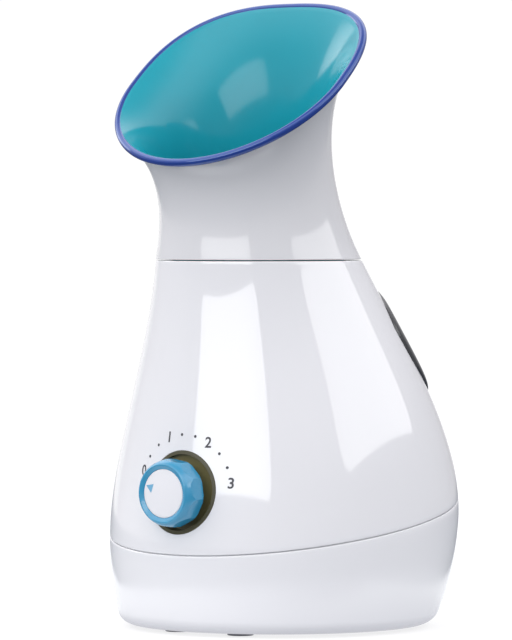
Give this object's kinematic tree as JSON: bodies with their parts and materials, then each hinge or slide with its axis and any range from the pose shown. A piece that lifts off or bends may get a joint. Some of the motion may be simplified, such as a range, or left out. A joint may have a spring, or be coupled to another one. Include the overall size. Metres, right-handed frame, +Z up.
{
  "type": "facial steamer",
  "caption": "Table-top facial steamer: vase-shaped white housing with a flared, tilted face hood lined in teal, a blue front selector knob and a smoked rear water tank.",
  "frame": {"origin": "on the floor under the middle of the part, at the height of the feet", "axes": "+Z up, -Y towards the front (knob and hood opening), +X to the right seen from the front"},
  "size_m": [0.1678, 0.1787, 0.2992],
  "materials": {
    "white_gloss": "glossy white",
    "grey_rubber": "matte",
    "teal_plastic": "glossy teal",
    "blue_rim": "glossy blue-violet",
    "steel": "drawn",
    "silicone_red": "matte",
    "natural_plastic": "moulded",
    "cast_aluminium": "cast",
    "heater_steel": "oxidised",
    "brown_plastic": "moulded",
    "silicone_clear": "translucent",
    "board_green": "solder mask",
    "relay_blue": "moulded",
    "coil_yellow": "taped",
    "capacitor_blue": "sleeved",
    "dark_well": "satin dark olive",
    "black_plastic": "moulded",
    "knob_blue": "satin light blue",
    "knob_white": "satin white",
    "pointer_blue": "satin blue",
    "smoked_tank": "smoked grey, slightly clear",
    "grey_plastic": "moulded",
    "lead_brown": "sleeved wire"
  },
  "bodies": {
    "housing": {"base_shell": "white_gloss", "body_shell": "white_gloss", "rubber_feet": "grey_rubber", "collar_deck": "teal_plastic", "steam_guard": "teal_plastic", "boiler_cup": "steel", "boiler_screws": "steel", "stand_screws": "steel", "switch_nut": "steel", "inlet_pins": "steel", "boiler_gasket": "silicone_red", "boiler_lid": "natural_plastic", "boiler_stand": "natural_plastic", "board_posts": "natural_plastic", "tank_bay": "natural_plastic", "tank_dock": "natural_plastic", "heater_plate": "cast_aluminium", "heating_element": "heater_steel", "thermostat": "brown_plastic", "steam_duct": "silicone_clear", "feed_hose": "silicone_clear", "control_board": "board_green", "board_relay": "relay_blue", "board_transformer": "coil_yellow", "board_capacitors": "capacitor_blue", "knob_bezel": "dark_well", "rotary_switch": "black_plastic", "mains_inlet": "black_plastic", "mains_leads": "lead_brown", "heater_leads": "lead_brown", "switch_leads": "lead_brown"},
    "hood": {"hood_shell": "white_gloss", "hood_liner": "teal_plastic", "hood_rim": "blue_rim"},
    "tank": {"tank_shell": "smoked_tank"},
    "cap": {"tank_cap": "natural_plastic", "nose_seal": "silicone_red"},
    "valve": {"valve_plunger": "grey_plastic", "valve_spring": "steel"},
    "knob": {"knob_grip": "knob_blue", "knob_face": "knob_white", "knob_pointer": "pointer_blue", "switch_shaft": "steel"}
  },
  "joints": [
    {"name": "hood_lift", "type": "slide", "parent": "housing", "child": "hood", "axis": [0, 0, 1], "range_m": [0, 0.05]},
    {"name": "tank_pull", "type": "slide", "parent": "housing", "child": "tank", "axis": [0, 1, 0], "range_m": [0, 0.072]},
    {"name": "cap_twist", "type": "hinge", "parent": "tank", "child": "cap", "pos_m": [0, 0.02, 0.1175], "axis": [0, 1, 0], "range_deg": [0, 90]},
    {"name": "valve_stroke", "type": "slide", "parent": "cap", "child": "valve", "axis": [0, 1, 0], "range_m": [-0.003, 0], "deforming": ["valve_spring"]},
    {"name": "knob_turn", "type": "hinge", "parent": "housing", "child": "knob", "pos_m": [0, -0.08, 0.0675], "axis": [0, 1, 0], "range_deg": [0, 150]}
  ],
  "couplings": [
    {"joint": "valve_stroke", "follows": "tank_pull", "ratio": -0.0416}
  ]
}
